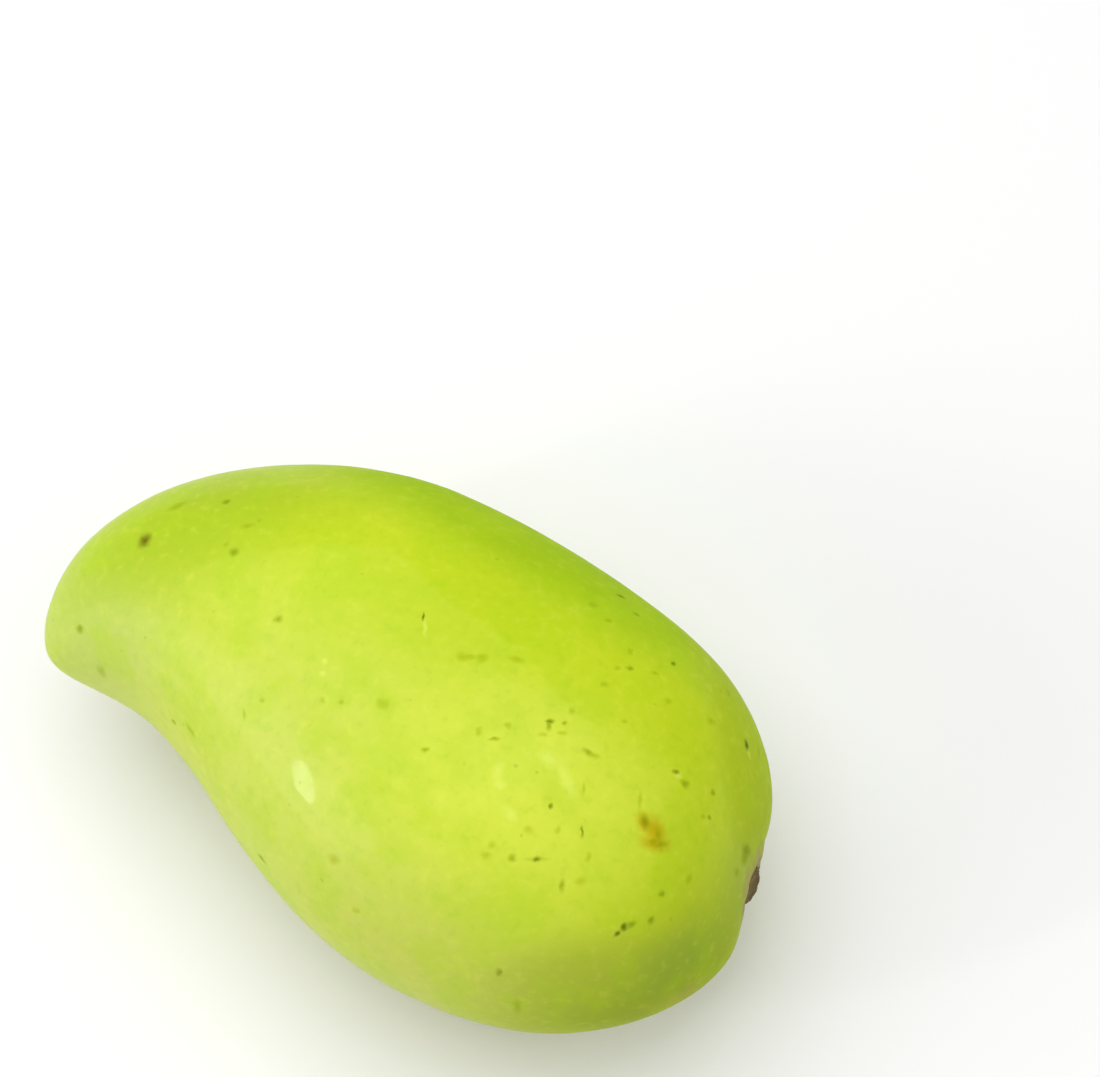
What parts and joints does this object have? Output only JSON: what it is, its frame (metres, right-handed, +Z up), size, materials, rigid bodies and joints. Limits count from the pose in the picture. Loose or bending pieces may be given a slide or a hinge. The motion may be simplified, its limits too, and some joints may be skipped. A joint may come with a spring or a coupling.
{
  "type": "mango",
  "caption": "Whole green mango with a blunt curved beak, lying on its cheek, with the dry stub of its stalk in a shallow basin.",
  "frame": {"origin": "on the surface that the fruit rests on, under the middle of its box", "axes": "+X towards the stalk, -X towards the beak, +Y towards the rounded back, -Y towards the belly, +Z up through the cheek"},
  "size_m": [0.1287, 0.0768, 0.0615],
  "materials": {
    "green_skin": "smooth waxy skin in yellow-green, soft satin gloss, pale bloom, fine pores, a few brown spots and one scar",
    "dry_stalk": "dry dark brown stalk end, matt and fibrous"
  },
  "bodies": {
    "root": {"fruit": "green_skin", "stalk_stub": "dry_stalk"}
  },
  "joints": []
}
